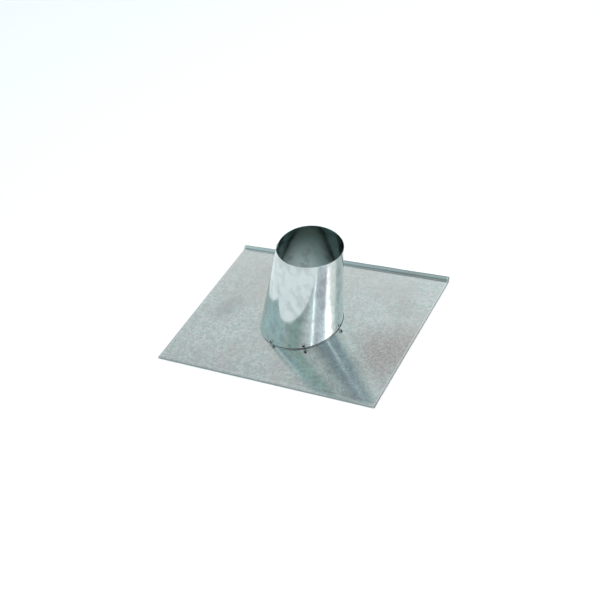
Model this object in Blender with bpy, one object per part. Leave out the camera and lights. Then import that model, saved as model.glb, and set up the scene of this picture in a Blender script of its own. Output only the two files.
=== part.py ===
"""Pitched-roof vent flashing in galvanised sheet.

A flat oblong base plate has a drawn neck round its opening, an upturned water lip with a folded
hem along one long edge and a hem folded under the other.  An oblique tapered cone, rolled from one
sheet and lapped down its left side, sits over the neck, leans up the slope and is held by six blind
rivets.  Each rivet is two pieces: the hollow body and the broken mandrel that stays in it.

Frame: metres, +Z is the plate's normal, +X points up the slope, the way the cone leans, +Y points
across it to the upturned lip, and the origin is under the middle.
"""
import math

import bmesh
import bpy
from mathutils import Vector

# ---- driving dimensions (metres, degrees where named) ----
SHEET = 0.00055            # galvanised sheet thickness
PLATE_WIDTH = 0.3556       # along the slope, 14 in
PLATE_DEPTH = 0.2540       # flat part, across the slope, 10 in
HEM_FOLD = 0.00095         # centre-to-centre of the sheet's two layers in the front hem
HEM_DEPTH = 0.0080         # how far the front hem runs back under the plate
LIP_ANGLE = 36.0           # turn of the water lip, degrees up from the plate
LIP_BEND = 0.0012          # centre-line radius where the lip turns up
LIP_LENGTH = 0.0069        # straight run of the lip
LIP_HEM_FOLD = 0.0011      # centre-to-centre of the lip's hem
LIP_HEM_DEPTH = 0.0046     # how far the hem comes back down the lip

EDGE_HEIGHT = 0.0030       # lower edge of the cone
EDGE_HALF_X = 0.0625       # cone's half axes at its lower edge, outside
EDGE_HALF_Y = 0.0596
EDGE_X = 0.0003            # and the middle of that oval, from the flat plate's middle
EDGE_Y = -0.0014
RIM_RADIUS = 0.0453        # the mouth is round, outside
RIM_X = 0.0514             # middle of the mouth
RIM_Y = 0.0001
RIM_HEIGHT = 0.1489
RIM_TILT_X = 9.4           # the mouth's plane faces this many degrees towards +X
RIM_TILT_Y = 3.6           # and this many towards +Y
MOUTH_DIP = 0.018          # share of the height by which the mouth's cut dips at two sides
MOUTH_DIP_ANGLE = 38.0     # one of those sides, degrees from +X; the other is opposite

LAP_START = 192.5          # free edge of the outer layer, degrees from +X
LAP_WIDTH = 14.0           # how much of the turn is two layers thick
LAP_RAMP = 34.0            # turn over which the outer layer comes back in
LAP_LIFT = 0.00105         # how far the outer layer stands off

NECK_HEIGHT = 0.0145       # top of the plate's drawn neck
NECK_GAP = 0.0006          # neck to cone
NECK_BEND = 0.0026         # centre-line radius between plate and neck

RIVET_HEIGHT = 0.0075      # rivet centres above the ground
RIVET_ANGLES = {
    "right": 359.8,
    "back_right": 62.0,
    "back_left": 121.0,
    "left": 182.0,
    "front_left": 250.8,
    "front_right": 299.4,
}
HEAD_RADIUS = 0.0030
HEAD_HEIGHT = 0.0011
SHANK_RADIUS = 0.0016
HOLE_CLEARANCE = 0.00035
TAIL_RADIUS = 0.0024
TAIL_LENGTH = 0.0036
BORE_RADIUS = 0.00125
MANDREL_RADIUS = 0.00085
MANDREL_HEAD = 0.0019
MANDREL_PROUD = 0.0006     # how far the broken stub stands out of the head
GAP = 0.0003               # clearance where two pieces meet

TURNS = 88                 # facets round the opening

# the lip leans out past the flat plate, and the front hem's fold a little;
# everything shifts so that the whole is centred
LIP_REACH = (
    (LIP_BEND - LIP_HEM_FOLD / 2) * math.sin(math.radians(LIP_ANGLE))
    + LIP_LENGTH * math.cos(math.radians(LIP_ANGLE))
    + LIP_HEM_FOLD / 2
    + SHEET / 2
)
HEM_REACH = HEM_FOLD / 2 + SHEET / 2
SHIFT_Y = (HEM_REACH - LIP_REACH) / 2
MID_Z = HEM_FOLD + SHEET / 2           # middle layer of the flat sheet
UNDERSIDE_Z = HEM_FOLD                 # plate's underside
FRONT_Y = -PLATE_DEPTH / 2 + SHIFT_Y
BACK_Y = PLATE_DEPTH / 2 + SHIFT_Y


def clear_scene():
    for item in list(bpy.data.objects):
        bpy.data.objects.remove(item, do_unlink=True)


def principled(name, colour, roughness, metallic):
    material = bpy.data.materials.new(name)
    material.use_nodes = True
    shader = material.node_tree.nodes["Principled BSDF"]
    shader.inputs["Base Color"].default_value = (*colour, 1.0)
    shader.inputs["Roughness"].default_value = roughness
    shader.inputs["Metallic"].default_value = metallic
    material.diffuse_color = (*colour, 1.0)
    return material


def new_object(name, mesh, material=None):
    item = bpy.data.objects.new(name, mesh)
    bpy.context.scene.collection.objects.link(item)
    if material is not None and not mesh.materials:
        mesh.materials.append(material)
    return item


def smooth(mesh, degrees=30.0):
    mesh.shade_smooth()
    mesh.set_sharp_from_angle(angle=math.radians(degrees))


def mesh_from(name, form):
    mesh = bpy.data.meshes.new(name)
    form.to_mesh(mesh)
    form.free()
    return mesh


def edge_point(angle, inset=0.0):
    """A point on the cone's lower edge, moved inwards by inset."""
    turn = math.radians(angle)
    return Vector((
        EDGE_X + (EDGE_HALF_X - inset) * math.cos(turn),
        EDGE_Y + SHIFT_Y + (EDGE_HALF_Y - inset) * math.sin(turn),
        EDGE_HEIGHT,
    ))


def rim_point(angle, inset=0.0):
    """A point on the tilted round mouth, moved inwards by inset."""
    turn = math.radians(angle)
    facing = Vector((
        math.tan(math.radians(RIM_TILT_X)),
        math.tan(math.radians(RIM_TILT_Y)),
        1.0,
    )).normalized()
    across = Vector((0.0, 1.0, 0.0)).cross(facing).normalized()
    along = facing.cross(across)
    middle = Vector((RIM_X, RIM_Y + SHIFT_Y, RIM_HEIGHT))
    return middle + (RIM_RADIUS - inset) * (math.cos(turn) * across + math.sin(turn) * along)


def wall_point(angle, height, inset=0.0):
    """A point on the straight line from the lower edge to the mouth, at one height."""
    lower = edge_point(angle, inset)
    upper = rim_point(angle, inset)
    return lower.lerp(upper, (height - lower.z) / (upper.z - lower.z))


def outward(angle, height):
    """Unit normal of the cone's outside."""
    along = wall_point(angle + 0.05, height) - wall_point(angle - 0.05, height)
    upward = rim_point(angle) - edge_point(angle)
    return along.cross(upward).normalized()


def seam_lift(angle):
    """Stand-off of the outer layer, measured from the seam's free edge."""
    past_lap = angle - LAP_START - LAP_WIDTH
    if past_lap <= 0.0:
        return LAP_LIFT
    part = min(past_lap / LAP_RAMP, 1.0)
    return LAP_LIFT * 0.5 * (1.0 + math.cos(math.pi * part))


# ---- base plate ----

def lip_profile():
    """Sheet centre line of the water lip after the bend line, as (y, z)."""
    points = []
    for step in range(1, 5):
        turn = math.radians(LIP_ANGLE) * step / 4
        points.append((
            BACK_Y + LIP_BEND * math.sin(turn),
            MID_Z + LIP_BEND * (1.0 - math.cos(turn)),
        ))
    lean = math.radians(LIP_ANGLE)
    up_y = math.cos(lean)
    up_z = math.sin(lean)
    top_y = points[-1][0] + LIP_LENGTH * up_y
    top_z = points[-1][1] + LIP_LENGTH * up_z
    points.append((top_y, top_z))
    radius = LIP_HEM_FOLD / 2
    front_y = -up_z
    front_z = up_y
    for step in range(1, 7):
        turn = math.pi * step / 6
        across = radius * (1.0 - math.cos(turn))
        along = radius * math.sin(turn)
        points.append((
            top_y + across * front_y + along * up_y,
            top_z + across * front_z + along * up_z,
        ))
    points.append((
        points[-1][0] - LIP_HEM_DEPTH * up_y,
        points[-1][1] - LIP_HEM_DEPTH * up_z,
    ))
    return points


def hem_profile():
    """Sheet centre line of the hem folded under the front edge, as (y, z)."""
    radius = HEM_FOLD / 2
    points = []
    for step in range(1, 7):
        turn = math.pi * step / 6
        points.append((
            FRONT_Y - radius * math.sin(turn),
            MID_Z - radius * (1.0 - math.cos(turn)),
        ))
    points.append((FRONT_Y + HEM_DEPTH, MID_Z - HEM_FOLD))
    return points


def outline_ring():
    """One point on the plate's outline for each facet of the opening, corners included."""
    centre_y = EDGE_Y + SHIFT_Y
    half_width = PLATE_WIDTH / 2
    points = []
    for index in range(TURNS):
        turn = 2.0 * math.pi * index / TURNS
        ray_x = EDGE_HALF_X * math.cos(turn)
        ray_y = EDGE_HALF_Y * math.sin(turn)
        limits = []
        if ray_x > 1e-9:
            limits.append((half_width - EDGE_X) / ray_x)
        if ray_x < -1e-9:
            limits.append((-half_width - EDGE_X) / ray_x)
        if ray_y > 1e-9:
            limits.append((BACK_Y - centre_y) / ray_y)
        if ray_y < -1e-9:
            limits.append((FRONT_Y - centre_y) / ray_y)
        reach = min(limits)
        points.append(Vector((EDGE_X + ray_x * reach, centre_y + ray_y * reach, MID_Z)))
    for corner_x in (-half_width, half_width):
        for corner_y in (FRONT_Y, BACK_Y):
            corner = Vector((corner_x, corner_y, MID_Z))
            nearest = min(range(TURNS), key=lambda index: (points[index] - corner).length)
            points[nearest] = corner
    return points


def ring_faces(form, lower, upper):
    """Quads between two closed rings of equal length."""
    count = len(lower)
    for index in range(count):
        after = (index + 1) % count
        form.faces.new((lower[index], lower[after], upper[after], upper[index]))


def fold_edge(form, edge_verts, profile):
    """Carry one straight edge of the sheet along a bent profile."""
    row = edge_verts
    for place_y, place_z in profile:
        following = [form.verts.new((vert.co.x, place_y, place_z)) for vert in row]
        for index in range(len(row) - 1):
            form.faces.new((row[index], row[index + 1], following[index + 1], following[index]))
        row = following


def build_plate(material):
    form = bmesh.new()
    rings = [[form.verts.new(point) for point in outline_ring()]]
    wall = SHEET + NECK_GAP + SHEET / 2
    bend_top = MID_Z + NECK_BEND
    for step in range(4, -1, -1):
        turn = math.radians(90.0) * step / 4
        height = MID_Z + NECK_BEND * (1.0 - math.sin(turn))
        inset = wall - NECK_BEND * (1.0 - math.cos(turn))
        ring = []
        for index in range(TURNS):
            angle = 360.0 * index / TURNS
            place = wall_point(angle, bend_top, inset)
            place.z = height
            ring.append(form.verts.new(place))
        rings.append(ring)
    ring = []
    for index in range(TURNS):
        angle = 360.0 * index / TURNS
        ring.append(form.verts.new(wall_point(angle, NECK_HEIGHT, wall)))
    rings.append(ring)
    for outer, inner in zip(rings, rings[1:]):
        ring_faces(form, outer, inner)

    outline = rings[0]
    back = [vert for vert in outline if abs(vert.co.y - BACK_Y) < 1e-6]
    back.sort(key=lambda vert: vert.co.x)
    front = [vert for vert in outline if abs(vert.co.y - FRONT_Y) < 1e-6]
    front.sort(key=lambda vert: -vert.co.x)
    fold_edge(form, back, lip_profile())
    fold_edge(form, front, hem_profile())
    bmesh.ops.recalc_face_normals(form, faces=form.faces)
    if max(form.faces, key=lambda face: face.calc_area()).normal.z < 0.0:
        bmesh.ops.reverse_faces(form, faces=form.faces)

    mesh = mesh_from("base_plate", form)
    smooth(mesh)
    plate = new_object("base_plate", mesh, material)
    thicken(plate, 0.0)
    return plate


def thicken(item, offset):
    solid = item.modifiers.new("Sheet", "SOLIDIFY")
    solid.thickness = SHEET
    solid.offset = offset
    solid.use_even_offset = True


# ---- cone ----

def build_cone(material):
    form = bmesh.new()
    rows = 4
    span = 360.0 + LAP_WIDTH
    steps = round(TURNS * span / 360.0)
    columns = []
    for index in range(steps + 1):
        angle = LAP_START + span * index / steps
        lift = seam_lift(angle)
        lower = edge_point(angle, -lift)
        upper = rim_point(angle, -lift)
        dip = MOUTH_DIP * math.cos(math.radians(angle - MOUTH_DIP_ANGLE)) ** 2
        column = []
        for row in range(rows + 1):
            column.append(form.verts.new(lower.lerp(upper, row / rows * (1.0 - dip))))
        columns.append(column)
    for left, right in zip(columns, columns[1:]):
        for low in range(rows):
            form.faces.new((left[low], right[low], right[low + 1], left[low + 1]))
    mesh = mesh_from("cone", form)
    smooth(mesh)
    cone = new_object("cone", mesh, material)
    thicken(cone, -1.0)
    return cone


# ---- rivets ----

def rivet_seat(angle):
    """Where a rivet head sits, its outward direction, and how much sheet it grips."""
    normal = outward(angle, RIVET_HEIGHT)
    stack = 2 * SHEET + NECK_GAP
    lift = 0.0
    if LAP_START < angle < LAP_START + LAP_WIDTH:
        lift = LAP_LIFT
    place = wall_point(angle, RIVET_HEIGHT, -lift)
    return place, normal, stack + lift


def turned(name, profile, segments):
    """Closed profile of (radius, height) spun about Z."""
    form = bmesh.new()
    rings = []
    for radius, height in profile:
        if radius < 1e-9:
            rings.append([form.verts.new((0.0, 0.0, height))])
            continue
        ring = []
        for index in range(segments):
            turn = 2.0 * math.pi * index / segments
            ring.append(form.verts.new((radius * math.cos(turn), radius * math.sin(turn), height)))
        rings.append(ring)
    pairs = list(zip(rings, rings[1:]))
    if len(rings[0]) > 1:
        pairs.append((rings[-1], rings[0]))
    for first, second in pairs:
        if len(first) > 1 and len(second) > 1:
            ring_faces(form, first, second)
            continue
        tip = first[0] if len(first) == 1 else second[0]
        ring = second if len(first) == 1 else first
        for index in range(len(ring)):
            form.faces.new((ring[index], ring[(index + 1) % len(ring)], tip))
    bmesh.ops.recalc_face_normals(form, faces=form.faces)
    mesh = mesh_from(name, form)
    smooth(mesh, 40.0)
    return mesh


def body_profile(grip):
    """Hollow rivet body: domed head, shank, and the tail bulged behind the sheets."""
    tail_top = -grip - 2 * GAP
    tail_end = tail_top - TAIL_LENGTH
    return (
        (BORE_RADIUS, GAP + HEAD_HEIGHT * 0.92),
        (BORE_RADIUS + 0.0002, GAP + HEAD_HEIGHT),
        (HEAD_RADIUS * 0.62, GAP + HEAD_HEIGHT * 0.90),
        (HEAD_RADIUS * 0.86, GAP + HEAD_HEIGHT * 0.55),
        (HEAD_RADIUS, GAP + HEAD_HEIGHT * 0.20),
        (HEAD_RADIUS * 0.98, GAP),
        (SHANK_RADIUS, GAP),
        (SHANK_RADIUS, tail_top),
        (TAIL_RADIUS * 0.80, tail_top),
        (TAIL_RADIUS, tail_top - TAIL_LENGTH * 0.30),
        (TAIL_RADIUS * 0.86, tail_top - TAIL_LENGTH * 0.70),
        (SHANK_RADIUS, tail_end),
        (BORE_RADIUS, tail_end),
    )


def mandrel_profile(grip):
    """Broken mandrel: stub standing a little proud of the bore, and the head that closed the tail."""
    tail_end = -grip - 2 * GAP - TAIL_LENGTH
    seat = tail_end - GAP
    top = GAP + HEAD_HEIGHT + MANDREL_PROUD
    return (
        (0.0, top - GAP * 0.5),
        (MANDREL_RADIUS * 0.55, top),
        (MANDREL_RADIUS, top - GAP),
        (MANDREL_RADIUS, seat),
        (MANDREL_HEAD * 0.70, seat),
        (MANDREL_HEAD * 0.84, seat - MANDREL_HEAD * 0.35),
        (MANDREL_HEAD * 0.60, seat - MANDREL_HEAD * 0.80),
        (0.0, seat - MANDREL_HEAD),
    )


def build_rivets(body_material, mandrel_material):
    """Six rivets, and one cutter with a clearance hole for each."""
    shared = {}
    cutter_form = bmesh.new()
    for label, angle in RIVET_ANGLES.items():
        place, normal, grip = rivet_seat(angle)
        facing = normal.to_track_quat("Z", "Y")
        key = round(grip, 6)
        if key not in shared:
            shared[key] = (
                turned("rivet_body", body_profile(grip), 18),
                turned("rivet_mandrel", mandrel_profile(grip), 12),
            )
        body_mesh, mandrel_mesh = shared[key]
        body = new_object(f"rivet_body_{label}", body_mesh, body_material)
        body.rotation_mode = "QUATERNION"
        body.rotation_quaternion = facing
        body.location = place
        mandrel = new_object(f"rivet_mandrel_{label}", mandrel_mesh, mandrel_material)
        mandrel.parent = body
        matrix = facing.to_matrix().to_4x4()
        matrix.translation = place - normal * (grip / 2)
        bmesh.ops.create_cone(
            cutter_form,
            cap_ends=True,
            segments=18,
            radius1=SHANK_RADIUS + HOLE_CLEARANCE,
            radius2=SHANK_RADIUS + HOLE_CLEARANCE,
            depth=grip + 0.0030,
            matrix=matrix,
        )
    bmesh.ops.recalc_face_normals(cutter_form, faces=cutter_form.faces)
    cutter = new_object("hole_cutter", mesh_from("hole_cutter", cutter_form))
    cutter.hide_render = True
    cutter.display_type = "WIRE"
    return cutter


def drill(item, cutter):
    holes = item.modifiers.new("Rivet holes", "BOOLEAN")
    holes.operation = "DIFFERENCE"
    holes.object = cutter
    holes.solver = "EXACT"


def main():
    clear_scene()
    plate_steel = principled("galvanised_plate", (0.52, 0.56, 0.55), 0.42, 1.0)
    cone_steel = principled("galvanised_cone", (0.56, 0.61, 0.60), 0.24, 1.0)
    rivet_alloy = principled("rivet_alloy", (0.62, 0.64, 0.63), 0.34, 1.0)
    mandrel_steel = principled("mandrel_steel", (0.12, 0.13, 0.13), 0.50, 1.0)
    plate = build_plate(plate_steel)
    cone = build_cone(cone_steel)
    cutter = build_rivets(rivet_alloy, mandrel_steel)
    drill(plate, cutter)
    drill(cone, cutter)


main()
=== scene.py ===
"""Galvanised roof vent flashing: finished surfaces, soft studio light and the camera.

The sheet pieces are drawn again at a finer step over the CAD frame, with the small unevenness of
hand-folded sheet, and each rivet gets a rounder head.  Same frame as the CAD: metres, +Z is the
plate's normal, +X the way the cone leans, +Y the edge with the upturned lip.
"""

import math

import bmesh
import bpy
from mathutils import Matrix, Vector


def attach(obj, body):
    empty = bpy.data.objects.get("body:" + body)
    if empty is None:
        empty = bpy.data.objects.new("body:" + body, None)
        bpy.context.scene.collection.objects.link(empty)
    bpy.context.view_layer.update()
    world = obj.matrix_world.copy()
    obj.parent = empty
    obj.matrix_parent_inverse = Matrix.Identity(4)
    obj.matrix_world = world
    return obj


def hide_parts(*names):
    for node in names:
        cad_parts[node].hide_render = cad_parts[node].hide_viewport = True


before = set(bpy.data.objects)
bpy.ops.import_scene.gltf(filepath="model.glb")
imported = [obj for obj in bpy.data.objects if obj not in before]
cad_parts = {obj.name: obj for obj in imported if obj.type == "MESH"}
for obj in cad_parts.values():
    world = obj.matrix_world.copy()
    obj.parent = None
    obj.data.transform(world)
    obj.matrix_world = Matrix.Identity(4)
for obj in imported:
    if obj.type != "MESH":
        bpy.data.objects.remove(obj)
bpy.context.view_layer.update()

# ---- sizes shared with the CAD (metres, degrees) ----
SHEET = 0.00055            # thickness of the plate and of the cone
PLATE_WIDTH = 0.3556
PLATE_DEPTH = 0.2540
HEM_FOLD = 0.00095         # between the centre lines of the two layers of the front hem
HEM_DEPTH = 0.0080
LIP_ANGLE = 36.0
LIP_BEND = 0.0012
LIP_LENGTH = 0.0069
LIP_HEM_FOLD = 0.0011
LIP_HEM_DEPTH = 0.0046

# the cone's lower edge, an oval level with the plate
EDGE_HEIGHT = 0.0030
EDGE_HALF_X = 0.0625
EDGE_HALF_Y = 0.0596
EDGE_X = 0.0003
EDGE_Y = -0.0014
# the cone's mouth, a tilted circle
RIM_RADIUS = 0.0453
RIM_X = 0.0514
RIM_Y = 0.0001
RIM_HEIGHT = 0.1489
RIM_TILT_X = 9.4
RIM_TILT_Y = 3.6
MOUTH_DIP = 0.018          # share of the height by which the mouth's cut dips at two sides
MOUTH_DIP_ANGLE = 38.0     # one of those sides, degrees from +X; the other is opposite

# the lap down the cone, in degrees round it from +X
LAP_START = 192.5
LAP_WIDTH = 14.0
LAP_RAMP = 34.0            # stretch over which the sheet eases back after the lap
LAP_LIFT = 0.00105         # how far the outer layer stands out

NECK_HEIGHT = 0.0145
NECK_GAP = 0.0006
NECK_BEND = 0.0026

RIVET_HEIGHT = 0.0075
RIVET_ANGLES = {           # round the cone from +X
    "right": 359.8,
    "back_right": 62.0,
    "back_left": 121.0,
    "left": 182.0,
    "front_left": 250.8,
    "front_right": 299.4,
}
HEAD_RADIUS = 0.0030
HEAD_HEIGHT = 0.0011
SHANK_RADIUS = 0.0016
HOLE_CLEARANCE = 0.00035
TAIL_RADIUS = 0.0024
TAIL_LENGTH = 0.0036
BORE_RADIUS = 0.00125
MANDREL_RADIUS = 0.00085
MANDREL_HEAD = 0.0019
MANDREL_PROUD = 0.0006
GAP = 0.0003               # a rivet's head and tail stand this clear of the sheets
RIVET_GRIP = 2 * SHEET + NECK_GAP

# how far the lip and the hem reach past the plate's two long edges
LIP_REACH = (
    (LIP_BEND - LIP_HEM_FOLD / 2) * math.sin(math.radians(LIP_ANGLE))
    + LIP_LENGTH * math.cos(math.radians(LIP_ANGLE))
    + LIP_HEM_FOLD / 2
    + SHEET / 2
)
HEM_REACH = HEM_FOLD / 2 + SHEET / 2
SHIFT_Y = (HEM_REACH - LIP_REACH) / 2      # puts the origin under the outline's middle
MID_Z = HEM_FOLD + SHEET / 2               # middle of the flat sheet
FRONT_Y = -PLATE_DEPTH / 2 + SHIFT_Y
BACK_Y = PLATE_DEPTH / 2 + SHIFT_Y

NECK_WALL = SHEET + NECK_GAP + SHEET / 2     # from the cone's outer face to the neck's centre line
NECK_BEND_TOP = MID_Z + NECK_BEND

# ---- finish of the drawn surfaces ----
TURNS = 288                # columns round the opening
FLAT_RINGS = 26            # rings from the neck's bend to the plate's outline
RING_CROWDING = 1.35       # above 1 they lie closer together near the neck
NECK_BEND_STEPS = 10
NECK_ROWS = 6
CONE_ROWS = 40
LIP_BEND_STEPS = 6
LIP_FLAT_STEPS = 4
FOLD_STEPS = 10            # round the half turn of either hem
HEM_STEPS = 3              # along the folded-over part of either hem
SHEET_SHARP = 30.0         # edges bent by more than this stay sharp, degrees
RIVET_SHARP = 45.0

LIP_UNEVEN = 5.0           # degrees by which the lip stands up more at one end, less at the other
PLATE_WAVE = 0.00016       # height of the plate's shallow waves
WAVE_FADE = 0.03           # width over which they fade towards the folds and the raw ends
END_WAVE = 0.35            # share of them left at the raw ends
CONE_WAVE = 0.00004        # height of the rolled cone's waves

# uneven edges: height of each ripple, its rate along the edge (radians per metre) and its start
LIP_TOP_RIPPLE = ((0.00012, 38.0, 0.0), (0.00008, 91.0, 1.0))
LIP_HEM_RIPPLE = ((0.00025, 29.0, 0.7), (0.00012, 83.0, 0.0))
FRONT_HEM_RIPPLE = ((0.0003, 31.0, 2.0),)
# the cone's waves: share of CONE_WAVE, number round the cone, start and twist up its height
CONE_SWELLS = ((1.0, 7, 0.0, 2.1), (0.6, 17, 0.8, -1.3), (0.5, 4, 0.0, 9.0))

# rivet details
BODY_SEGMENTS = 40
MANDREL_SEGMENTS = 24
HOLE_SEGMENTS = 24
HOLE_MARGIN = 0.0030       # the hole's cutter is this much longer than the grip
BORE_WALL = (0.45, 0.80)   # heights up the bore, as shares of the head's
BORE_SHOULDER = 0.82       # share at which the rounding of the bore's mouth starts
BORE_ROLL = 0.00022        # and how wide it is
ROLL_STEPS = 3
CROWN_RADIUS = BORE_RADIUS + 0.00030
CROWN_STEPS = 10
HEAD_BRIM = 0.16           # height of the head's outer edge, as a share of the head's
HEAD_SEAT = 0.985          # radius of its underside, as a share of the head's
# radius of the painted shade round the bore
PAINTED_SHADE_RADIUS = BORE_RADIUS + 0.0009
TAIL_SHOULDER = 0.00005
TAIL_STEPS = 8
TAIL_FULLNESS = 0.8        # below 1 the tail's bulge is fuller than a sine
# broken stub, from its torn tip down: share of its radius, depth below the top in gaps
STUB_SHAPE = ((0.0, 0.9), (0.30, 0.2), (0.62, 0.0), (0.85, 0.4), (1.0, 1.2))
# head that closed the tail: radius and depth as shares of MANDREL_HEAD
PLUG_SHAPE = (
    (0.66, 0.0), (0.78, 0.10), (0.84, 0.32), (0.78, 0.60), (0.58, 0.84), (0.30, 0.96), (0.0, 1.0),
)

TINY = 1e-9
ON_EDGE = 1e-6             # points this close to a fold's line belong to it


# ---- small tools ----

def mesh_object(name, form, degrees):
    """Object made from a bmesh, smooth but for edges bent by more than the angle."""
    mesh = bpy.data.meshes.new(name)
    form.to_mesh(mesh)
    form.free()
    mesh.shade_smooth()
    mesh.set_sharp_from_angle(angle=math.radians(degrees))
    item = bpy.data.objects.new(name, mesh)
    bpy.context.scene.collection.objects.link(item)
    return item


def baked(item, degrees):
    """Turn the piece's modifiers into plain mesh."""
    view = bpy.context.evaluated_depsgraph_get()
    mesh = bpy.data.meshes.new_from_object(item.evaluated_get(view))
    item.modifiers.clear()
    old = item.data
    item.data = mesh
    bpy.data.meshes.remove(old)
    mesh.name = item.name
    mesh.shade_smooth()
    mesh.set_sharp_from_angle(angle=math.radians(degrees))


def mark(item, name, test):
    """Store 1 on the points that pass the test and 0 on the others, for the material to read."""
    values = item.data.attributes.new(name, "FLOAT", "POINT").data
    for index, vert in enumerate(item.data.vertices):
        values[index].value = 1.0 if test(vert) else 0.0


def thicken(item, offset):
    """Give the sheet its thickness: offset 0 both ways from the drawn surface, -1 inwards."""
    solid = item.modifiers.new("Sheet", "SOLIDIFY")
    solid.thickness = SHEET
    solid.offset = offset
    solid.use_even_offset = True


def drill(item, cutter):
    """Cut the rivets' clearance holes."""
    holes = item.modifiers.new("Rivet holes", "BOOLEAN")
    holes.operation = "DIFFERENCE"
    holes.object = cutter
    holes.solver = "EXACT"


def ripple(place, waves):
    """Sum of the waves at one place along an edge."""
    return sum(height * math.sin(rate * place + start) for height, rate, start in waves)


# ---- the cone's wall ----

def edge_point(angle, inset=0.0):
    """Point of the cone's lower edge, moved inwards by the inset."""
    turn = math.radians(angle)
    return Vector((
        EDGE_X + (EDGE_HALF_X - inset) * math.cos(turn),
        EDGE_Y + SHIFT_Y + (EDGE_HALF_Y - inset) * math.sin(turn),
        EDGE_HEIGHT,
    ))


def rim_point(angle, inset=0.0):
    """Point of the tilted mouth, moved inwards by the inset."""
    turn = math.radians(angle)
    facing = Vector((
        math.tan(math.radians(RIM_TILT_X)),
        math.tan(math.radians(RIM_TILT_Y)),
        1.0,
    )).normalized()
    across = Vector((0.0, 1.0, 0.0)).cross(facing).normalized()
    along = facing.cross(across)
    middle = Vector((RIM_X, RIM_Y + SHIFT_Y, RIM_HEIGHT))
    return middle + (RIM_RADIUS - inset) * (math.cos(turn) * across + math.sin(turn) * along)


def wall_point(angle, height, inset=0.0):
    """Point of the wall at a height, on the straight line from the lower edge to the mouth."""
    lower = edge_point(angle, inset)
    upper = rim_point(angle, inset)
    return lower.lerp(upper, (height - lower.z) / (upper.z - lower.z))


def outward(angle, height):
    """Unit normal of the wall, away from the pipe."""
    nearby = 0.05
    along = wall_point(angle + nearby, height) - wall_point(angle - nearby, height)
    upward = rim_point(angle) - edge_point(angle)
    return along.cross(upward).normalized()


def seam_lift(angle):
    """How far the sheet stands out to pass over its other end, easing back after the lap."""
    past_lap = angle - LAP_START - LAP_WIDTH
    if past_lap <= 0.0:
        return LAP_LIFT
    part = min(past_lap / LAP_RAMP, 1.0)
    return LAP_LIFT * 0.5 * (1.0 + math.cos(math.pi * part))


def cone_wave(angle, part):
    """Shallow flats and swells left by the rolls, fading at both ends."""
    turn = math.radians(angle)
    swell = 0.0
    for share, count, start, twist in CONE_SWELLS:
        swell += share * math.sin(count * turn + start + twist * part)
    return CONE_WAVE * swell * math.sin(math.pi * part)


def faces_the_pipe(vert):
    """Whether a point of the cone lies on the face towards the pipe."""
    low = (edge_point(0.0) + edge_point(180.0)) / 2
    high = (rim_point(0.0) + rim_point(180.0)) / 2
    centre = low.lerp(high, (vert.co.z - low.z) / (high.z - low.z))
    clearly_inwards = -0.3
    return vert.normal.dot((vert.co - centre).normalized()) < clearly_inwards


def build_cone():
    """Rolled sheet from one side of the lap round to the other."""
    form = bmesh.new()
    span = 360.0 + LAP_WIDTH
    steps = round(TURNS * span / 360.0)
    columns = []
    for index in range(steps + 1):
        angle = LAP_START + span * index / steps
        lift = seam_lift(angle)
        dip = MOUTH_DIP * math.cos(math.radians(angle - MOUTH_DIP_ANGLE)) ** 2
        column = []
        for row in range(CONE_ROWS + 1):
            part = row / CONE_ROWS * (1.0 - dip)
            inset = -lift - cone_wave(angle, part)
            place = edge_point(angle, inset).lerp(rim_point(angle, inset), part)
            column.append(form.verts.new(place))
        columns.append(column)
    for left, right in zip(columns, columns[1:]):
        for low in range(CONE_ROWS):
            form.faces.new((left[low], right[low], right[low + 1], left[low + 1]))
    cone = mesh_object("leaning_cone", form, SHEET_SHARP)
    thicken(cone, -1.0)
    return cone


# ---- the plate ----

def plate_wave(place):
    """Height of the sheet's slow waves: none at the neck and the folds, less at the raw ends."""
    x = place.x
    y = place.y - SHIFT_Y
    wave = math.sin(21.0 * x + 0.9) * math.cos(17.0 * y - 0.4)
    wave += 0.7 * math.sin(33.0 * x - 24.0 * y + 2.0)
    wave += 0.45 * math.sin(52.0 * y + 11.0 * x + 0.3)
    neck_limit = 1.05
    from_neck = math.hypot((x - EDGE_X) / EDGE_HALF_X, (y - EDGE_Y) / EDGE_HALF_Y) - neck_limit
    from_fold = (PLATE_DEPTH / 2 - abs(y)) / WAVE_FADE
    from_end = (PLATE_WIDTH / 2 - abs(x)) / WAVE_FADE
    fade = min(max(from_neck, 0.0), 1.0) * min(max(from_fold, 0.0), 1.0)
    fade *= END_WAVE + (1.0 - END_WAVE) * min(max(from_end, 0.0), 1.0)
    return PLATE_WAVE * wave * fade


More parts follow.
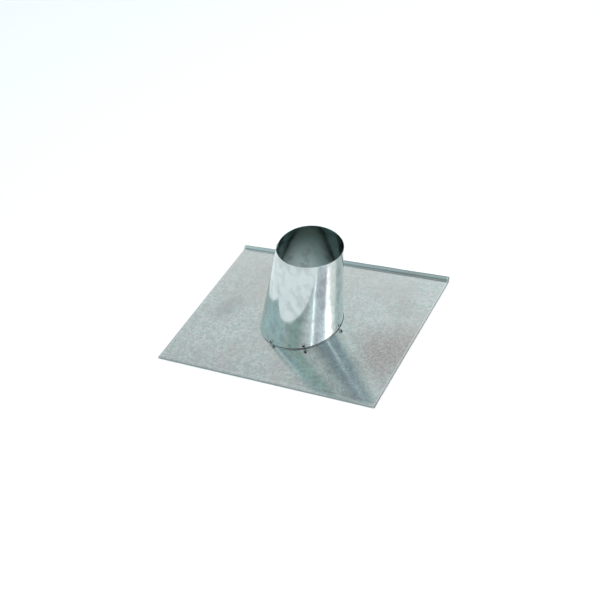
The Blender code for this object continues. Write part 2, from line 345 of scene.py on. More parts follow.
def lip_profile(x):
    """Sheet centre line of the water lip at one place along it, as (y, z)."""
    lean = math.radians(LIP_ANGLE + LIP_UNEVEN * x / (PLATE_WIDTH / 2))
    length = LIP_LENGTH + ripple(x, LIP_TOP_RIPPLE)
    points = []
    for step in range(1, LIP_BEND_STEPS + 1):
        turn = lean * step / LIP_BEND_STEPS
        points.append((
            BACK_Y + LIP_BEND * math.sin(turn),
            MID_Z + LIP_BEND * (1.0 - math.cos(turn)),
        ))
    up_y = math.cos(lean)
    up_z = math.sin(lean)
    root_y, root_z = points[-1]
    for step in range(1, LIP_FLAT_STEPS + 1):
        along = length * step / LIP_FLAT_STEPS
        points.append((root_y + along * up_y, root_z + along * up_z))
    top_y, top_z = points[-1]
    radius = LIP_HEM_FOLD / 2
    for step in range(1, FOLD_STEPS + 1):
        turn = math.pi * step / FOLD_STEPS
        across = radius * (1.0 - math.cos(turn))
        along = radius * math.sin(turn)
        points.append((
            top_y - across * up_z + along * up_y,
            top_z + across * up_y + along * up_z,
        ))
    fold_y, fold_z = points[-1]
    depth = LIP_HEM_DEPTH + ripple(x, LIP_HEM_RIPPLE)
    for step in range(1, HEM_STEPS + 1):
        along = depth * step / HEM_STEPS
        points.append((fold_y - along * up_y, fold_z - along * up_z))
    return points


def hem_profile(x):
    """Sheet centre line of the hem folded under the front edge, as (y, z)."""
    radius = HEM_FOLD / 2
    points = []
    for step in range(1, FOLD_STEPS + 1):
        turn = math.pi * step / FOLD_STEPS
        points.append((
            FRONT_Y - radius * math.sin(turn),
            MID_Z - radius * (1.0 - math.cos(turn)),
        ))
    depth = HEM_DEPTH + ripple(x, FRONT_HEM_RIPPLE)
    for step in range(1, HEM_STEPS + 1):
        points.append((FRONT_Y + depth * step / HEM_STEPS, MID_Z - HEM_FOLD))
    return points


def outline_ring():
    """Points of the plate's rectangle, on rays from the opening's middle, with exact corners."""
    centre_y = EDGE_Y + SHIFT_Y
    half_width = PLATE_WIDTH / 2
    points = []
    for index in range(TURNS):
        turn = 2.0 * math.pi * index / TURNS
        ray_x = EDGE_HALF_X * math.cos(turn)
        ray_y = EDGE_HALF_Y * math.sin(turn)
        limits = []
        if abs(ray_x) > TINY:
            limits.append((math.copysign(half_width, ray_x) - EDGE_X) / ray_x)
        if abs(ray_y) > TINY:
            limits.append(((BACK_Y if ray_y > 0.0 else FRONT_Y) - centre_y) / ray_y)
        reach = min(limits)
        points.append(Vector((EDGE_X + ray_x * reach, centre_y + ray_y * reach, MID_Z)))
    for corner_x in (-half_width, half_width):
        for corner_y in (FRONT_Y, BACK_Y):
            corner = Vector((corner_x, corner_y, MID_Z))
            nearest = min(range(TURNS), key=lambda index: (points[index] - corner).length)
            points[nearest] = corner
    return points


def ring_faces(form, lower, upper):
    """Join two rings of the same number of points."""
    count = len(lower)
    for index in range(count):
        after = (index + 1) % count
        form.faces.new((lower[index], lower[after], upper[after], upper[index]))


def fold_edge(form, edge_verts, profile):
    """Carry one straight edge of the sheet along a bent profile."""
    paths = [profile(vert.co.x) for vert in edge_verts]
    row = edge_verts
    for step in range(len(paths[0])):
        following = []
        for vert, path in zip(edge_verts, paths):
            following.append(form.verts.new((vert.co.x, path[step][0], path[step][1])))
        for index in range(len(row) - 1):
            form.faces.new((row[index], row[index + 1], following[index + 1], following[index]))
        row = following


def flat_rings(form):
    """Rings of the flange, from the plate's outline in to the foot of the neck's bend."""
    rings = []
    outline = outline_ring()
    for step in range(FLAT_RINGS):
        part = (1.0 - step / FLAT_RINGS) ** RING_CROWDING
        ring = []
        for index in range(TURNS):
            start = wall_point(360.0 * index / TURNS, NECK_BEND_TOP, NECK_WALL - NECK_BEND)
            start.z = MID_Z
            place = start.lerp(outline[index], part)
            place.z += plate_wave(place)
            ring.append(form.verts.new(place))
        rings.append(ring)
    return rings


def neck_rings(form):
    """Rings of the neck: round its bend, then straight up inside the cone."""
    rings = []
    for step in range(NECK_BEND_STEPS, -1, -1):
        turn = math.radians(90.0) * step / NECK_BEND_STEPS
        inset = NECK_WALL - NECK_BEND * (1.0 - math.cos(turn))
        ring = []
        for index in range(TURNS):
            place = wall_point(360.0 * index / TURNS, NECK_BEND_TOP, inset)
            place.z = MID_Z + NECK_BEND * (1.0 - math.sin(turn))
            ring.append(form.verts.new(place))
        rings.append(ring)
    for step in range(1, NECK_ROWS + 1):
        height = NECK_BEND_TOP + (NECK_HEIGHT - NECK_BEND_TOP) * step / NECK_ROWS
        ring = []
        for index in range(TURNS):
            ring.append(form.verts.new(wall_point(360.0 * index / TURNS, height, NECK_WALL)))
        rings.append(ring)
    return rings


def build_plate():
    """One sheet: flange, neck, water lip and front hem."""
    form = bmesh.new()
    rings = flat_rings(form) + neck_rings(form)
    for outer, following in zip(rings, rings[1:]):
        ring_faces(form, outer, following)
    back = [vert for vert in rings[0] if abs(vert.co.y - BACK_Y) < ON_EDGE]
    back.sort(key=lambda vert: vert.co.x)
    front = [vert for vert in rings[0] if abs(vert.co.y - FRONT_Y) < ON_EDGE]
    front.sort(key=lambda vert: -vert.co.x)
    fold_edge(form, back, lip_profile)
    fold_edge(form, front, hem_profile)
    bmesh.ops.recalc_face_normals(form, faces=form.faces)
    if max(form.faces, key=lambda face: face.calc_area()).normal.z < 0.0:
        bmesh.ops.reverse_faces(form, faces=form.faces)
    plate = mesh_object("flashing_plate", form, SHEET_SHARP)
    thicken(plate, 0.0)
    return plate


# ---- rivets ----

def turned(name, profile, segments):
    """Closed profile of (radius, height) spun about Z."""
    form = bmesh.new()
    rings = []
    for radius, height in profile:
        if radius < TINY:
            rings.append([form.verts.new((0.0, 0.0, height))])
            continue
        ring = []
        for index in range(segments):
            turn = 2.0 * math.pi * index / segments
            ring.append(form.verts.new((radius * math.cos(turn), radius * math.sin(turn), height)))
        rings.append(ring)
    pairs = list(zip(rings, rings[1:]))
    if len(rings[0]) > 1:
        pairs.append((rings[-1], rings[0]))
    for first, second in pairs:
        if len(first) > 1 and len(second) > 1:
            ring_faces(form, first, second)
            continue
        tip = first[0] if len(first) == 1 else second[0]
        ring = second if len(first) == 1 else first
        for index in range(len(ring)):
            form.faces.new((ring[index], ring[(index + 1) % len(ring)], tip))
    bmesh.ops.recalc_face_normals(form, faces=form.faces)
    return mesh_object(name, form, RIVET_SHARP)


def body_profile():
    """Hollow body: domed head with a rounded bore, shank, tail bulged behind the sheets."""
    tail_top = -RIVET_GRIP - 2 * GAP
    points = [(BORE_RADIUS, GAP + HEAD_HEIGHT * share) for share in BORE_WALL]
    for step in range(ROLL_STEPS + 1):
        turn = math.radians(90.0) * step / ROLL_STEPS
        points.append((
            BORE_RADIUS + BORE_ROLL * (1.0 - math.cos(turn)),
            GAP + HEAD_HEIGHT * (BORE_SHOULDER + (1.0 - BORE_SHOULDER) * math.sin(turn)),
        ))
    for step in range(1, CROWN_STEPS + 1):
        turn = math.radians(90.0) * step / CROWN_STEPS
        points.append((
            CROWN_RADIUS + (HEAD_RADIUS - CROWN_RADIUS) * math.sin(turn),
            GAP + HEAD_HEIGHT * (HEAD_BRIM + (1.0 - HEAD_BRIM) * math.cos(turn)),
        ))
    points.append((HEAD_RADIUS * HEAD_SEAT, GAP))
    points.append((SHANK_RADIUS, GAP))
    points.append((SHANK_RADIUS, tail_top))
    for step in range(TAIL_STEPS + 1):
        turn = math.pi * step / TAIL_STEPS
        points.append((
            SHANK_RADIUS + (TAIL_RADIUS - SHANK_RADIUS) * math.sin(turn) ** TAIL_FULLNESS,
            tail_top - TAIL_SHOULDER - (TAIL_LENGTH - TAIL_SHOULDER) * step / TAIL_STEPS,
        ))
    points.append((BORE_RADIUS, tail_top - TAIL_LENGTH))
    return points


def mandrel_profile():
    """Broken mandrel: torn stub standing a little proud, and the head that closed the tail."""
    top = GAP + HEAD_HEIGHT + MANDREL_PROUD
    seat = -RIVET_GRIP - 3 * GAP - TAIL_LENGTH
    stub = [(MANDREL_RADIUS * radius, top - GAP * depth) for radius, depth in STUB_SHAPE]
    plug = [(MANDREL_HEAD * radius, seat - MANDREL_HEAD * depth) for radius, depth in PLUG_SHAPE]
    return stub + [(MANDREL_RADIUS, seat)] + plug


def build_rivets():
    """Six bodies and six mandrels, and one cutter with their clearance holes."""
    bodies = {}
    mandrels = {}
    holes = bmesh.new()
    for label, angle in RIVET_ANGLES.items():
        normal = outward(angle, RIVET_HEIGHT)
        facing = normal.to_track_quat("Z", "Y").to_matrix().to_4x4()
        seat = wall_point(angle, RIVET_HEIGHT)
        placed = Matrix.Translation(seat) @ facing
        body = turned(f"blind_rivet_{label}", body_profile(), BODY_SEGMENTS)
        mandrel = turned(f"mandrel_stub_{label}", mandrel_profile(), MANDREL_SEGMENTS)
        mark(body, "bore_shade", lambda vert: math.hypot(vert.co.x, vert.co.y) < PAINTED_SHADE_RADIUS)
        body.data.transform(placed)
        mandrel.data.transform(placed)
        bodies[label] = body
        mandrels[label] = mandrel
        bmesh.ops.create_cone(
            holes,
            cap_ends=True,
            segments=HOLE_SEGMENTS,
            radius1=SHANK_RADIUS + HOLE_CLEARANCE,
            radius2=SHANK_RADIUS + HOLE_CLEARANCE,
            depth=RIVET_GRIP + HOLE_MARGIN,
            matrix=Matrix.Translation(seat - normal * (RIVET_GRIP / 2)) @ facing,
        )
    bmesh.ops.recalc_face_normals(holes, faces=holes.faces)
    cutter = mesh_object("hole_cutter", holes, SHEET_SHARP)
    return bodies, mandrels, cutter


# ---- materials ----

# base colours of the plate
ZINC_DARK = (0.52, 0.565, 0.55)
ZINC_LIGHT = (0.75, 0.803, 0.787)
WARM_FLECK = (0.70, 0.67, 0.66)
GREEN_FLECK = (0.53, 0.67, 0.61)
GREY_CLOUD = (0.52, 0.53, 0.52)
BROWN_TINGE = (0.60, 0.56, 0.545)
BROWN_STAIN = (0.42, 0.38, 0.37)
# painted shade over the water lip's bend and fold
LIP_PAINTED_SHADE = (0.33, 0.335, 0.33)
# painted light and shade on the front hem: highlight, shade line, shaded fold, shadow under it
HEM_PAINTED_HIGHLIGHT = (0.84, 0.87, 0.86)
HEM_PAINTED_SHADE_LINE = (0.36, 0.36, 0.35)
HEM_FOLD_PAINTED_SHADE = (0.27, 0.275, 0.27)
HEM_PAINTED_CONTACT_SHADOW = (0.16, 0.17, 0.17)
# painted shade in the crevice at the cone's foot
CREVICE_PAINTED_SHADE = (0.05, 0.06, 0.06)
# painted highlight near the plate's raw ends
END_PAINTED_HIGHLIGHT = (0.88, 0.92, 0.90)
# dark line along the raw ends
END_DARK_LINE = (0.26, 0.255, 0.25)
# base colours of the cone
CONE_DARK = (0.545, 0.60, 0.59)
CONE_LIGHT = (0.62, 0.675, 0.665)
CONE_SPANGLE = (0.56, 0.61, 0.60)
CONE_SMUDGE = (0.44, 0.47, 0.47)
# painted light and shade inside the cone: dark near the mouth, lit lower down
INSIDE_SHADE_TOP = (0.115, 0.195, 0.17)
INSIDE_SMUDGE = (0.22, 0.24, 0.22)
INSIDE_LIT_DOWNHILL = (0.82, 0.97, 0.97)
INSIDE_LIT_UPHILL = (0.47, 0.62, 0.60)
# painted shade along the cone's lower edge
FOOT_PAINTED_SHADE = (0.07, 0.08, 0.08)

# middle of the brown stain near the plate's right end, and the square of how far it reaches
STAIN_X = 0.150
STAIN_Y = -0.035
STAIN_REACH_SQUARED = 0.0048
# stripes along the folds, from BACK_Y and FRONT_Y: start, full, last full, end
# LIP_HEM_FLAT: where the painted shade on the water lip is lighter
LIP_HEM_FLAT = (0.0022, 0.0029, 0.0042, 0.0050)
# FRONT_HEM_EDGE: where the painted shade line along the front hem lies
FRONT_HEM_EDGE = (0.0068, 0.0076, 0.0082, 0.0090)


class Surface:
    """A Principled material and short names for the nodes that feed it."""

    def __init__(self, name, metallic):
        self.material = bpy.data.materials.new(name)
        self.material.use_nodes = True
        self.tree = self.material.node_tree
        self.shader = self.tree.nodes["Principled BSDF"]
        self.shader.inputs["Metallic"].default_value = metallic
        self.place = self.tree.nodes.new("ShaderNodeTexCoord").outputs["Object"]

    def link(self, source, target):
        self.tree.links.new(source, target)

    def scaled(self, factors):
        """Object coordinates multiplied axis by axis."""
        node = self.tree.nodes.new("ShaderNodeMapping")
        node.inputs["Scale"].default_value = factors
        self.link(self.place, node.inputs["Vector"])
        return node.outputs["Vector"]

    def noise(self, scale, detail=4.0, rough=0.55, vector=None):
        """Smooth noise, scale in waves per metre."""
        node = self.tree.nodes.new("ShaderNodeTexNoise")
        node.inputs["Scale"].default_value = scale
        node.inputs["Detail"].default_value = detail
        node.inputs["Roughness"].default_value = rough
        self.link(vector or self.place, node.inputs["Vector"])
        return node.outputs["Fac"]

    def cells(self, scale):
        """Two random greys per spangle."""
        node = self.tree.nodes.new("ShaderNodeTexVoronoi")
        node.feature = "F1"
        node.inputs["Scale"].default_value = scale
        self.link(self.place, node.inputs["Vector"])
        split = self.tree.nodes.new("ShaderNodeSeparateColor")
        self.link(node.outputs["Color"], split.inputs["Color"])
        return split.outputs["Red"], split.outputs["Green"]

    def attribute(self, name):
        node = self.tree.nodes.new("ShaderNodeAttribute")
        node.attribute_name = name
        return node.outputs["Fac"]

    def axis(self, name):
        """Object coordinate along X, Y or Z."""
        split = self.tree.nodes.new("ShaderNodeSeparateXYZ")
        self.link(self.place, split.inputs["Vector"])
        return split.outputs[name]

    def band(self, name, start, full):
        """0 up to start and 1 from full, along one axis of the object."""
        return self.spread(self.axis(name), start, full, 0.0, 1.0)

    def stripe(self, name, origin, places):
        """1 between the two middle places and 0 outside the outer two, measured from the origin."""
        start, full, last_full, end = places
        rise = self.band(name, origin + start, origin + full)
        return self.product(rise, self.band(name, origin + end, origin + last_full))

    def spread(self, value, low, high, out_low, out_high):
        """Value from low to high turned into out_low to out_high, and held beyond them."""
        node = self.tree.nodes.new("ShaderNodeMapRange")
        node.inputs["From Min"].default_value = low
        node.inputs["From Max"].default_value = high
        node.inputs["To Min"].default_value = out_low
        node.inputs["To Max"].default_value = out_high
        self.link(value, node.inputs["Value"])
        return node.outputs["Result"]

    def math(self, operation, first, second):
        node = self.tree.nodes.new("ShaderNodeMath")
        node.operation = operation
        for socket, value in zip(node.inputs, (first, second)):
            if isinstance(value, (int, float)):
                socket.default_value = value
            else:
                self.link(value, socket)
        return node.outputs["Value"]

    def product(self, *values):
        total = values[0]
        for value in values[1:]:
            total = self.math("MULTIPLY", total, value)
        return total

    def total(self, first, second):
        return self.math("ADD", first, second)

    def mix(self, amount, first, second):
        """Colour or node output between first, at 0, and second, at 1."""
        node = self.tree.nodes.new("ShaderNodeMix")
        node.data_type = "RGBA"
        self.link(amount, node.inputs["Factor"])
        for socket, value in ((node.inputs[6], first), (node.inputs[7], second)):
            if isinstance(value, tuple):
                socket.default_value = (*value, 1.0)
            else:
                self.link(value, socket)
        return node.outputs[2]

    def bump(self, height, distance, strength):
        node = self.tree.nodes.new("ShaderNodeBump")
        node.inputs["Distance"].default_value = distance
        node.inputs["Strength"].default_value = strength
        self.link(height, node.inputs["Height"])
        self.link(node.outputs["Normal"], self.shader.inputs["Normal"])


def plate_sheet(skin, spangle, grain, cloud):
    """Spangle and grain with flecks, clouds and brownish stains."""
    tint = skin.noise(130.0, 3.0)
    tone = skin.total(skin.product(spangle, 0.25), skin.product(grain, 0.5))
    # the grain stands out more towards the front, where the sheet is more handled
    contrast = skin.spread(skin.axis("Y"), FRONT_Y, BACK_Y, 1.5, 0.6)
    tone = skin.total(skin.product(skin.math("SUBTRACT", tone, 0.5), contrast), 0.5)
    base = skin.mix(skin.spread(tone, 0.30, 0.70, 0.0, 1.0), ZINC_DARK, ZINC_LIGHT)
    base = skin.mix(skin.spread(tint, 0.54, 0.66, 0.0, 0.55), base, WARM_FLECK)
    base = skin.mix(skin.spread(tint, 0.46, 0.34, 0.0, 0.55), base, GREEN_FLECK)
    base = skin.mix(skin.spread(cloud, 0.55, 0.74, 0.0, 0.50), base, GREY_CLOUD)
    stain = skin.noise(9.0, 4.0, 0.55)
    base = skin.mix(skin.spread(stain, 0.46, 0.62, 0.0, 0.45), base, BROWN_TINGE)
    off_x = skin.math("SUBTRACT", skin.axis("X"), STAIN_X)
    off_y = skin.math("SUBTRACT", skin.axis("Y"), STAIN_Y)
    apart = skin.total(skin.product(off_x, off_x), skin.product(off_y, off_y))
    near = skin.spread(apart, STAIN_REACH_SQUARED, 0.0, 0.0, 1.0)
    speckled = skin.spread(grain, 0.60, 0.40, 0.15, 1.0)
    return skin.mix(skin.product(near, speckled), base, BROWN_STAIN)


def lip_shade_and_dullness(skin):
    """Painted shade over the water lip, which also makes it duller: most in its bend and over its fold,
    less on the hem's flat.
    """
    root = skin.band("Y", BACK_Y - 0.0002, BACK_Y + 0.0008)
    flat = skin.stripe("Y", BACK_Y, LIP_HEM_FLAT)
    folded = skin.product(root, skin.math("SUBTRACT", 0.95, skin.product(flat, 0.6)))
    return skin.product(folded, skin.spread(skin.axis("X"), -0.06, 0.15, 0.72, 1.0))


def front_hem_light_and_shade(skin, base):
    """Painted highlight over the hem, a painted shade line at its inner edge, painted shade over the
    fold and painted shadow along its underside.
    """
    # strength of the painted highlight and shade line, weaker towards the left end
    hem_paint_strength = skin.spread(skin.axis("X"), -0.02, 0.14, 0.30, 1.0)
    strip = skin.band("Y", FRONT_Y + 0.0078, FRONT_Y + 0.0070)
    base = skin.mix(skin.product(strip, 0.25, hem_paint_strength), base, HEM_PAINTED_HIGHLIGHT)
    line = skin.stripe("Y", FRONT_Y, FRONT_HEM_EDGE)
    base = skin.mix(skin.product(line, hem_paint_strength, 0.45), base, HEM_PAINTED_SHADE_LINE)
    outer = skin.band("Y", FRONT_Y + 0.0003, FRONT_Y - 0.0002)
    base = skin.mix(skin.product(outer, 0.75), base, HEM_FOLD_PAINTED_SHADE)
    under = skin.band("Z", MID_Z + 0.0001, MID_Z - 0.0004)
    return skin.mix(skin.product(under, 0.85), base, HEM_PAINTED_CONTACT_SHADOW)


def foot_crevice_shade(skin, base):
    """Painted shade in the crevice between the neck's bend and the cone's edge."""
    across = skin.math("DIVIDE", skin.math("SUBTRACT", skin.axis("X"), EDGE_X), EDGE_HALF_X)
    along = skin.math("SUBTRACT", skin.axis("Y"), EDGE_Y + SHIFT_Y)
    along = skin.math("DIVIDE", along, EDGE_HALF_Y)
    apart = skin.total(skin.product(across, across), skin.product(along, along))
    raised = skin.band("Z", MID_Z + 0.00034, MID_Z + 0.0005)
    crevice = skin.product(raised, skin.spread(apart, 1.10, 1.05, 0.0, 1.0))
    return skin.mix(skin.product(crevice, 0.92), base, CREVICE_PAINTED_SHADE)


def cut_ends(skin, base):
    """Painted highlight near the two raw ends, and a dark line along them over the cut face and the last
    0.7 mm of the sheet.
    """
    from_middle = skin.math("ABSOLUTE", skin.axis("X"), 0.0)
    end = PLATE_WIDTH / 2
    # painted highlight near the raw ends
    end_highlight = skin.spread(from_middle, end - 0.0034, end - 0.0022, 0.0, 0.5)
    base = skin.mix(end_highlight, base, END_PAINTED_HIGHLIGHT)
    # dark line along the raw ends
    cut = skin.spread(from_middle, end - 0.0013, end - 0.0007, 0.0, 0.80)
    return skin.mix(cut, base, END_DARK_LINE)


def plate_zinc():
    """Semi-matt zinc: fine spangle and faint handling marks, rougher over the lip, with painted shade
    and highlights on the lip, the front hem and the foot's crevice, and light and dark lines along the
    raw ends.
    """
    skin = Surface("galvanised plate zinc", 1.0)
    large, large_b = skin.cells(250.0)
    small, small_b = skin.cells(620.0)
    grain = skin.noise(420.0, 4.0, 0.65)
    cloud = skin.noise(22.0, 5.0, 0.6)
    base = plate_sheet(skin, skin.total(large, small), grain, cloud)
    folded = lip_shade_and_dullness(skin)
    # painted shade over the water lip
    base = skin.mix(folded, base, LIP_PAINTED_SHADE)
    # painted light and shade on the front hem
    base = front_hem_light_and_shade(skin, base)
    # painted shade in the crevice round the neck's bend
    base = foot_crevice_shade(skin, base)
    base = cut_ends(skin, base)
    skin.link(base, skin.shader.inputs["Base Color"])
    rough = skin.spread(skin.total(large_b, small_b), 0.2, 1.8, 0.105, 0.155)
    rough = skin.total(rough, skin.spread(cloud, 0.35, 0.75, -0.01, 0.06))
    rough = skin.total(rough, skin.product(folded, 0.12))
    skin.link(rough, skin.shader.inputs["Roughness"])
    skin.bump(skin.total(skin.product(large, 0.5), grain), 0.00001, 0.3)
    return skin.material


def inside_painted_light(skin, smudge):
    """Painted light and shade inside the cone: dark green shade near the mouth, painted light below,
    most on the downhill side.
    """
    deep = skin.band("Z", 0.136, 0.066)
    low_side = skin.mix(skin.band("X", 0.022, -0.006), INSIDE_LIT_UPHILL, INSIDE_LIT_DOWNHILL)
    inner = skin.mix(deep, INSIDE_SHADE_TOP, low_side)
    return skin.mix(skin.spread(smudge, 0.48, 0.62, 0.0, 0.40), inner, INSIDE_SMUDGE)


def cone_zinc():
    """Brighter, smoother zinc with upright roll marks and smudges, with painted shade along its lower
    edge and painted light and shade inside.
    """
    skin = Surface("galvanised cone zinc", 1.0)
    streak = skin.noise(1.0, 5.0, 0.6, skin.scaled((420.0, 420.0, 9.0)))
    cloud = skin.noise(38.0, 5.0, 0.6)
    smudge = skin.noise(75.0, 4.0, 0.6, skin.scaled((1.0, 1.0, 0.6)))
    spangle, spangle_b = skin.cells(300.0)
    tone = skin.total(skin.product(streak, 0.45), skin.product(cloud, 0.55))
    base = skin.mix(skin.spread(tone, 0.38, 0.62, 0.0, 1.0), CONE_DARK, CONE_LIGHT)
    base = skin.mix(skin.spread(spangle, 0.0, 1.0, 0.0, 0.16), base, CONE_SPANGLE)
    base = skin.mix(skin.spread(smudge, 0.47, 0.62, 0.0, 0.75), base, CONE_SMUDGE)
    inside = skin.attribute("inside")
    # painted light and shade on the face towards the pipe
    base = skin.mix(inside, base, inside_painted_light(skin, smudge))
    # painted shade along the lowest 0.6 mm of the cone
    foot_shade = skin.band("Z", EDGE_HEIGHT + 0.0006, EDGE_HEIGHT + 0.0003)
    base = skin.mix(skin.product(foot_shade, 0.85), base, FOOT_PAINTED_SHADE)
    skin.link(base, skin.shader.inputs["Base Color"])
    rough = skin.spread(tone, 0.35, 0.65, 0.06, 0.11)
    rough = skin.total(rough, skin.product(spangle_b, 0.02))
    rough = skin.total(rough, skin.spread(smudge, 0.55, 0.75, 0.0, 0.05))
    rough = skin.total(rough, skin.product(inside, 0.06))
    skin.link(rough, skin.shader.inputs["Roughness"])
    skin.bump(streak, 0.00001, 0.5)
    return skin.material


def rivet_alloy():
    """Plain satin alloy, with painted shade, near black, over the bore and the crown round it."""
    skin = Surface("rivet alloy", 1.0)
    wear = skin.noise(700.0, 4.0)
    base = skin.mix(skin.spread(wear, 0.35, 0.65, 0.0, 1.0), (0.46, 0.50, 0.50), (0.66, 0.69, 0.69))
    # painted shade, near black, over the bore and the crown round it
    base = skin.mix(skin.attribute("bore_shade"), base, (0.02, 0.022, 0.022))
    skin.link(base, skin.shader.inputs["Base Color"])
    skin.link(skin.spread(wear, 0.3, 0.7, 0.22, 0.36), skin.shader.inputs["Roughness"])
    skin.bump(wear, 0.00002, 0.5)
    return skin.material


def mandrel_steel():
    """Steel coloured near black as painted shade of the deep bore, rough where it broke."""
    skin = Surface("mandrel steel", 1.0)
    wear = skin.noise(1200.0, 4.0)
    # near black: painted shade of the bore, not the steel's own colour
    base = skin.mix(skin.spread(wear, 0.35, 0.65, 0.0, 1.0), (0.012, 0.012, 0.012), (0.04, 0.04, 0.042))
    skin.link(base, skin.shader.inputs["Base Color"])
    skin.link(skin.spread(wear, 0.3, 0.7, 0.40, 0.60), skin.shader.inputs["Roughness"])
    skin.bump(wear, 0.00003, 0.6)
    return skin.material


def floor_paper():
    """Matt white, a little warm."""
    skin = Surface("white floor", 0.0)
    grain = skin.noise(900.0, 3.0)
    base = skin.mix(skin.spread(grain, 0.3, 0.7, 0.0, 1.0), (0.975, 0.960, 0.955), (0.985, 0.970, 0.965))
    skin.link(base, skin.shader.inputs["Base Color"])
    skin.shader.inputs["Roughness"].default_value = 0.9
    skin.shader.inputs["Specular IOR Level"].default_value = 0.1
    return skin.material


# ---- put the pieces together ----

def finish_piece(item, material, slot, *nodes):
    """Give the piece its material, and let it stand in for the CAD nodes named."""
    item.data.materials.clear()
    item.data.materials.append(material)
    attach(item, "root")
    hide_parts(*nodes)


bodies, mandrels, cutter = build_rivets()
plate = build_plate()
cone = build_cone()
for sheet in (plate, cone):
    drill(sheet, cutter)
    baked(sheet, SHEET_SHARP)
mark(cone, "inside", faces_the_pipe)
bpy.data.objects.remove(cutter, do_unlink=True)

finish_piece(plate, plate_zinc(), "galvanised_plate", "base_plate")
finish_piece(cone, cone_zinc(), "galvanised_cone", "cone")
alloy = rivet_alloy()
steel = mandrel_steel()
for label in RIVET_ANGLES:
    finish_piece(bodies[label], alloy, "rivet_alloy", f"rivet_body_{label}")
    finish_piece(mandrels[label], steel, "mandrel_steel", f"rivet_mandrel_{label}")


# ---- floor, light, camera ----

FLOOR_HALF = 30.0
FLOOR_DROP = 0.0002        # the floor lies this far under the lowest hem
LIGHT_DISTANCE = 2.0
LIGHT_AIM = 0.05           # height above the floor that the lights face


def build_floor():
    form = bmesh.new()
    bmesh.ops.create_grid(form, x_segments=4, y_segments=4, size=FLOOR_HALF)
    bmesh.ops.translate(form, verts=form.verts, vec=(0.0, 0.0, -FLOOR_DROP))
    floor = mesh_object("studio_floor", form, SHEET_SHARP)
    floor.data.materials.append(floor_paper())


def aim(azimuth, elevation):
    """Unit vector at an azimuth from +X and an elevation, degrees."""
    turn = math.radians(azimuth)
    rise = math.radians(elevation)
    return Vector((
        math.cos(turn) * math.cos(rise),
        math.sin(turn) * math.cos(rise),
        math.sin(rise),
    ))


def softbox(name, azimuth, elevation, width, height, radiance, roll, colour):
    """Rectangular light facing the object, its brightness given as radiance."""
    light = bpy.data.lights.new(name, "AREA")
    light.shape = "RECTANGLE"
    light.size = width
    light.size_y = height
    light.energy = radiance * math.pi * width * height
    light.color = colour
    item = bpy.data.objects.new(name, light)
    bpy.context.scene.collection.objects.link(item)
    away = aim(azimuth, elevation)
    item.location = away * LIGHT_DISTANCE + Vector((0.0, 0.0, LIGHT_AIM))
    facing = away.to_track_quat("Z", "Y").to_matrix() @ Matrix.Rotation(math.radians(roll), 3, "Z")
    item.rotation_mode = "QUATERNION"
    item.rotation_quaternion = facing.to_quaternion()
    item.visible_camera = False
    return item


# broad patches of the studio's walls: azimuth, elevation, full within, gone by (degrees), and
# change in colour
PATCHES = (
    (112.0, 31.0, 8.0, 38.0, (0.30, 0.30, 0.30)),
    (137.0, 53.0, 6.0, 24.0, (-0.32, -0.32, -0.32)),
    (-175.0, 62.0, 4.0, 16.0, (0.35, 0.35, 0.35)),
    (-142.0, 49.0, 6.0, 20.0, (-0.17, -0.12, -0.10)),
    (-160.0, 25.0, 15.0, 45.0, (0.02, 0.15, 0.19)),
    (-112.0, 48.0, 4.0, 18.0, (0.04, 0.10, 0.07)),
    (-101.0, 39.0, 3.0, 18.0, (-0.18, -0.08, -0.09)),
    (-66.0, 43.0, 4.0, 20.0, (0.22, 0.22, 0.23)),
    (-8.0, 13.0, 14.0, 42.0, (-0.25, -0.20, -0.12)),
    (13.0, 21.0, 4.0, 20.0, (0.12, 0.17, 0.18)),
    (33.0, 24.0, 5.0, 21.0, (0.20, 0.20, 0.19)),
    (51.0, 34.0, 12.0, 38.0, (0.28, 0.28, 0.29)),
    (59.0, 27.0, 5.0, 22.0, (0.34, 0.34, 0.35)),
    (-28.0, 59.0, 10.0, 34.0, (0.41, 0.43, 0.55)),
    (-13.0, 57.0, 3.0, 12.0, (0.22, 0.24, 0.26)),
    (26.0, 57.0, 4.0, 16.0, (0.75, 0.70, 0.70)),
    (80.0, 50.0, 4.0, 24.0, (-0.09, -0.02, -0.01)),
)
WALLS = (0.70, 0.75, 0.76)
BACKDROP = (0.96, 0.96, 0.96, 1.0)


def build_world():
    """Soft surroundings for the lighting and reflections, and a plain backdrop behind them."""
    world = bpy.data.worlds.new("studio")
    bpy.context.scene.world = world
    world.use_nodes = True
    tree = world.node_tree
    nodes = tree.nodes
    coord = nodes.new("ShaderNodeTexCoord").outputs["Generated"]
    total = None
    for azimuth, elevation, full, gone, change in PATCHES:
        dot = nodes.new("ShaderNodeVectorMath")
        dot.operation = "DOT_PRODUCT"
        tree.links.new(coord, dot.inputs[0])
        dot.inputs[1].default_value = aim(azimuth, elevation)
        fall = nodes.new("ShaderNodeMapRange")
        fall.interpolation_type = "SMOOTHSTEP"
        fall.inputs["From Min"].default_value = math.cos(math.radians(gone))
        fall.inputs["From Max"].default_value = math.cos(math.radians(full))
        tree.links.new(dot.outputs["Value"], fall.inputs["Value"])
        add = nodes.new("ShaderNodeVectorMath")
        add.operation = "MULTIPLY_ADD"
        tree.links.new(fall.outputs["Result"], add.inputs[0])
        add.inputs[1].default_value = change
        add.inputs[2].default_value = WALLS
        if total is not None:
            tree.links.new(total, add.inputs[2])
        total = add.outputs["Vector"]
    plain = nodes.new("ShaderNodeMix")
    plain.data_type = "RGBA"
    tree.links.new(nodes.new("ShaderNodeLightPath").outputs["Is Camera Ray"], plain.inputs["Factor"])
    tree.links.new(total, plain.inputs[6])
    plain.inputs[7].default_value = BACKDROP
    tree.links.new(plain.outputs[2], nodes["Background"].inputs["Color"])


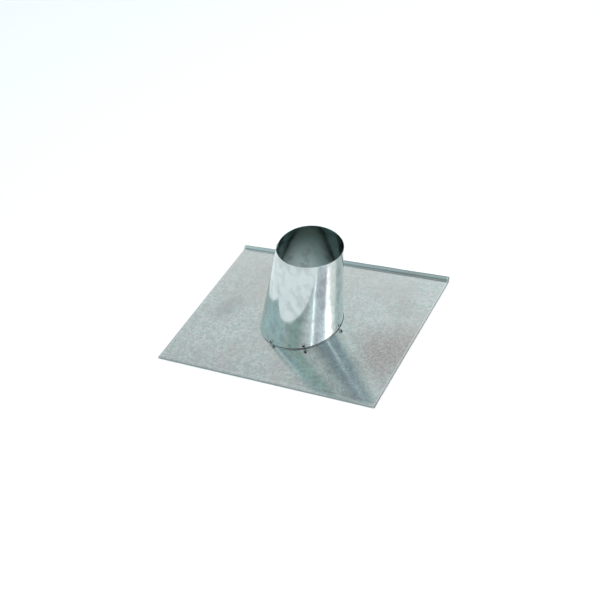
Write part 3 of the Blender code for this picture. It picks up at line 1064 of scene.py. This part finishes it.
CAMERA_AZIMUTH = 39.216    # degrees from -Y towards +X
CAMERA_ELEVATION = 39.024
CAMERA_ROLL = -16.816
CAMERA_DISTANCE = 4.2745 * PLATE_WIDTH
# how far to the right of the view's middle, and above it, the plate's middle stands
CAMERA_ASIDE = (0.00900 * PLATE_WIDTH, -0.08190 * PLATE_WIDTH)
CAMERA_LENS = 62.62        # millimetres
CAMERA_SENSOR = 36.0


def build_camera():
    """Camera looking down past the middle of the plate, rolled about its own axis."""
    data = bpy.data.cameras.new("camera")
    data.sensor_width = CAMERA_SENSOR
    data.lens = CAMERA_LENS
    data.clip_start = 0.01
    data.clip_end = 100.0
    item = bpy.data.objects.new("camera", data)
    bpy.context.scene.collection.objects.link(item)
    back = aim(CAMERA_AZIMUTH - 90.0, CAMERA_ELEVATION)
    level_right = (-back).cross(Vector((0.0, 0.0, 1.0))).normalized()
    level_up = level_right.cross(-back)
    roll = math.radians(CAMERA_ROLL)
    right = math.cos(roll) * level_right + math.sin(roll) * level_up
    up = math.cos(roll) * level_up - math.sin(roll) * level_right
    turn = Matrix((right, up, back)).transposed().to_4x4()
    place = back * CAMERA_DISTANCE - right * CAMERA_ASIDE[0] - up * CAMERA_ASIDE[1]
    place += Vector((0.0, SHIFT_Y, MID_Z + SHEET / 2))
    item.matrix_world = Matrix.Translation(place) @ turn
    bpy.context.scene.camera = item


build_floor()
build_world()
softbox("key_strip", 10.0, 57.3, 0.68, 0.21, 3.2, 30.0, (1.0, 0.97, 0.985))
softbox("key_wide", 38.0, 62.3, 0.66, 0.21, 2.6, 0.0, (1.0, 0.97, 0.985))
softbox("thin_strip", -51.0, 51.0, 0.08, 0.55, 2.9, 0.0, (0.97, 1.0, 1.0))
softbox("far_strip", -9.5, 26.0, 0.12, 0.80, 1.45, 0.0, (0.90, 1.0, 1.0))
overhead = softbox("overhead", 5.0, 77.0, 0.60, 0.60, 8.0, 0.0, (1.0, 1.0, 1.0))
overhead.visible_glossy = False
build_camera()
bpy.context.scene.view_settings.view_transform = "Standard"
